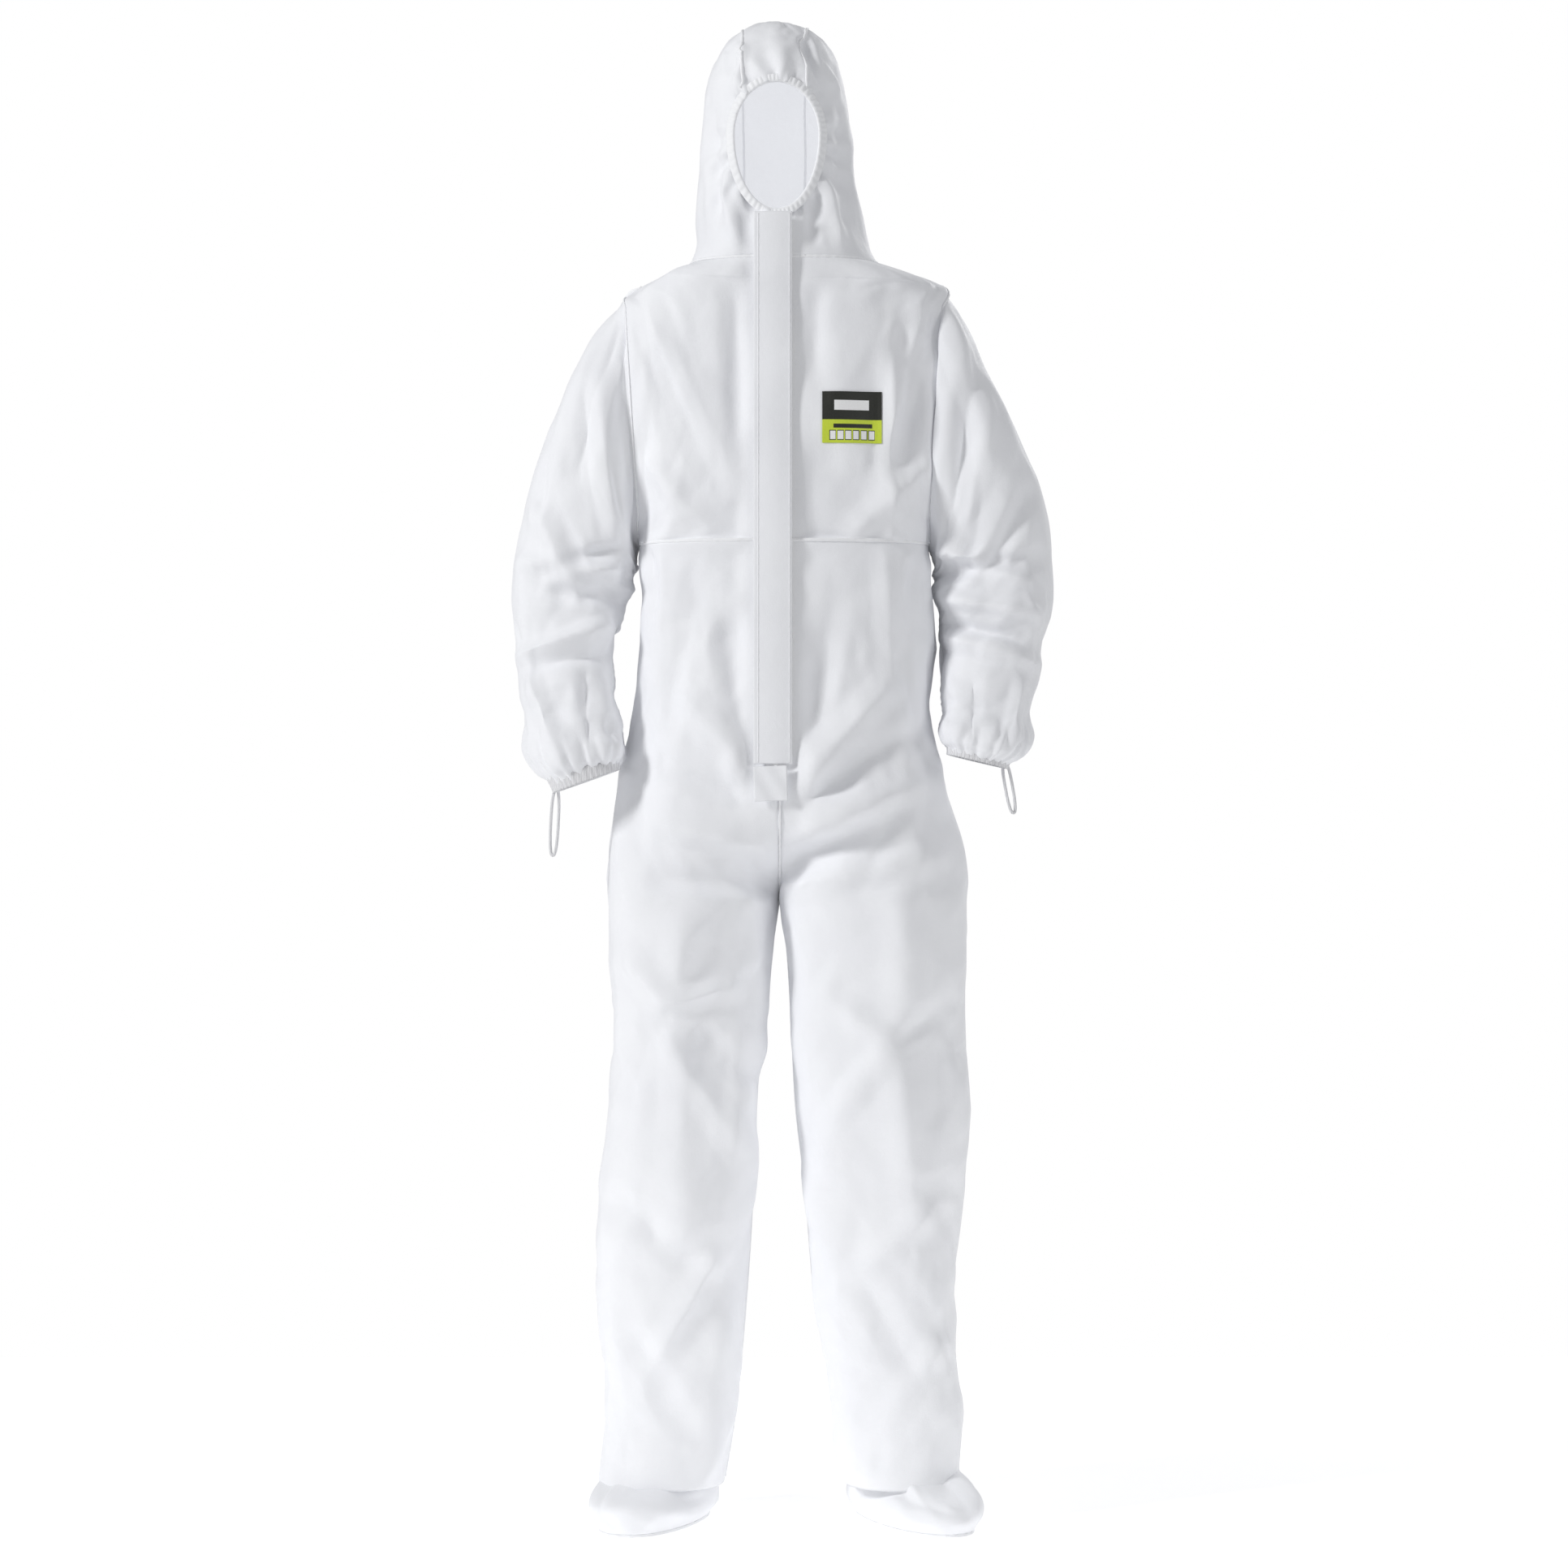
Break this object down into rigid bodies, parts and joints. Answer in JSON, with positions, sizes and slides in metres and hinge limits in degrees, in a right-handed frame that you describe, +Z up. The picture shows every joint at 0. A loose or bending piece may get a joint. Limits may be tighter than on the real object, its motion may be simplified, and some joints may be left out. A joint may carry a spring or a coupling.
{
  "type": "protective_coverall",
  "caption": "White hooded disposable protective coverall with a zip under a storm flap, elasticated cuffs with finger loops, and attached booties, standing as if worn",
  "frame": {"origin": "middle of the standing suit's outer box, on the floor under the booties", "axes": "+X is the wearer's left, -Y is the front with the zip, +Z is up"},
  "size_m": [0.6718, 0.2797, 1.8422],
  "materials": {
    "nonwoven_white": "matte calendered nonwoven, paper-like creases",
    "nonwoven_shade": "matte nonwoven",
    "elastic_white": "gathered elastic band",
    "zip_tape": "woven polyester tape",
    "zip_plastic": "moulded nylon",
    "adhesive": "release paper over adhesive",
    "badge_print": "printed label, black over lime"
  },
  "bodies": {
    "trunk": {"front_right_panel": "nonwoven_white", "front_left_panel": "nonwoven_white", "back_panel": "nonwoven_white", "waist_elastic": "elastic_white", "chest_badge": "badge_print", "neck_label": "nonwoven_shade", "seat_front_right": "nonwoven_white", "thigh_front_right": "nonwoven_white", "upper_sleeve_front_right": "nonwoven_white", "seat_back_right": "nonwoven_white", "thigh_back_right": "nonwoven_white", "upper_sleeve_back_right": "nonwoven_white", "hood_neck_right": "nonwoven_white", "zip_tape_right": "zip_tape", "zip_coil_right": "zip_plastic", "zip_top_stop_right": "zip_plastic", "seat_front_left": "nonwoven_white", "thigh_front_left": "nonwoven_white", "upper_sleeve_front_left": "nonwoven_white", "seat_back_left": "nonwoven_white", "thigh_back_left": "nonwoven_white", "upper_sleeve_back_left": "nonwoven_white", "hood_neck_left": "nonwoven_white", "zip_tape_left": "zip_tape", "zip_coil_left": "zip_plastic", "zip_top_stop_left": "zip_plastic", "zip_bottom_stop": "zip_plastic", "flap_seam_strip": "nonwoven_white", "flap_end_tab": "nonwoven_white"},
    "hood": {"hood_side_right": "nonwoven_white", "hood_side_left": "nonwoven_white", "hood_centre_panel": "nonwoven_white", "face_elastic": "elastic_white"},
    "storm_flap": {"storm_flap": "nonwoven_white", "flap_adhesive_strip": "adhesive"},
    "zip_slider": {"zip_slider": "zip_plastic"},
    "zip_pull": {"zip_pull": "zip_plastic"},
    "forearm_right": {"lower_sleeve_front_right": "nonwoven_white", "lower_sleeve_back_right": "nonwoven_white", "cuff_elastic_right": "elastic_white"},
    "finger_loop_right": {"finger_loop_right": "elastic_white"},
    "shin_right": {"shin_front_right": "nonwoven_white", "shin_back_right": "nonwoven_white", "bootie_right": "nonwoven_white", "ankle_elastic_right": "elastic_white", "bootie_sole_right": "nonwoven_shade"},
    "forearm_left": {"lower_sleeve_front_left": "nonwoven_white", "lower_sleeve_back_left": "nonwoven_white", "cuff_elastic_left": "elastic_white"},
    "finger_loop_left": {"finger_loop_left": "elastic_white"},
    "shin_left": {"shin_front_left": "nonwoven_white", "shin_back_left": "nonwoven_white", "bootie_left": "nonwoven_white", "ankle_elastic_left": "elastic_white", "bootie_sole_left": "nonwoven_shade"}
  },
  "joints": [
    {"name": "hood_tip_back", "type": "hinge", "parent": "trunk", "child": "hood", "pos_m": [-0.009, 0.112, 1.602], "axis": [-1, 0, 0], "range_deg": [0, 40]},
    {"name": "storm_flap_open", "type": "hinge", "parent": "trunk", "child": "storm_flap", "pos_m": [-0.0325, -0.134, 0.924], "axis": [0, -0.034, -0.9994], "range_deg": [0, 150]},
    {"name": "zip_slider_travel", "type": "slide", "parent": "trunk", "child": "zip_slider", "axis": [0, -0.034, -0.9994], "range_m": [0, 0.63]},
    {"name": "zip_pull_swing", "type": "hinge", "parent": "zip_slider", "child": "zip_pull", "pos_m": [-0.01, -0.1107, 1.5718], "axis": [0, -0.9994, 0.034], "range_deg": [-25, 25]},
    {"name": "elbow_bend_right", "type": "hinge", "parent": "trunk", "child": "forearm_right", "pos_m": [-0.268, -0.042, 1.12], "axis": [-1, 0, 0], "range_deg": [0, 50]},
    {"name": "elbow_bend_left", "type": "hinge", "parent": "trunk", "child": "forearm_left", "pos_m": [0.264, -0.042, 1.12], "axis": [-1, 0, 0], "range_deg": [0, 50]},
    {"name": "knee_bend_right", "type": "hinge", "parent": "trunk", "child": "shin_right", "pos_m": [-0.117, 0.055, 0.62], "axis": [1, 0, 0], "range_deg": [0, 45]},
    {"name": "knee_bend_left", "type": "hinge", "parent": "trunk", "child": "shin_left", "pos_m": [0.117, 0.055, 0.62], "axis": [1, 0, 0], "range_deg": [0, 45]},
    {"name": "finger_loop_swing_right", "type": "hinge", "parent": "forearm_right", "child": "finger_loop_right", "pos_m": [-0.277, -0.072, 0.886], "axis": [1, 0, 0], "range_deg": [-40, 40]},
    {"name": "finger_loop_swing_left", "type": "hinge", "parent": "forearm_left", "child": "finger_loop_left", "pos_m": [0.27, -0.067, 0.919], "axis": [1, 0, 0], "range_deg": [-40, 40]}
  ]
}
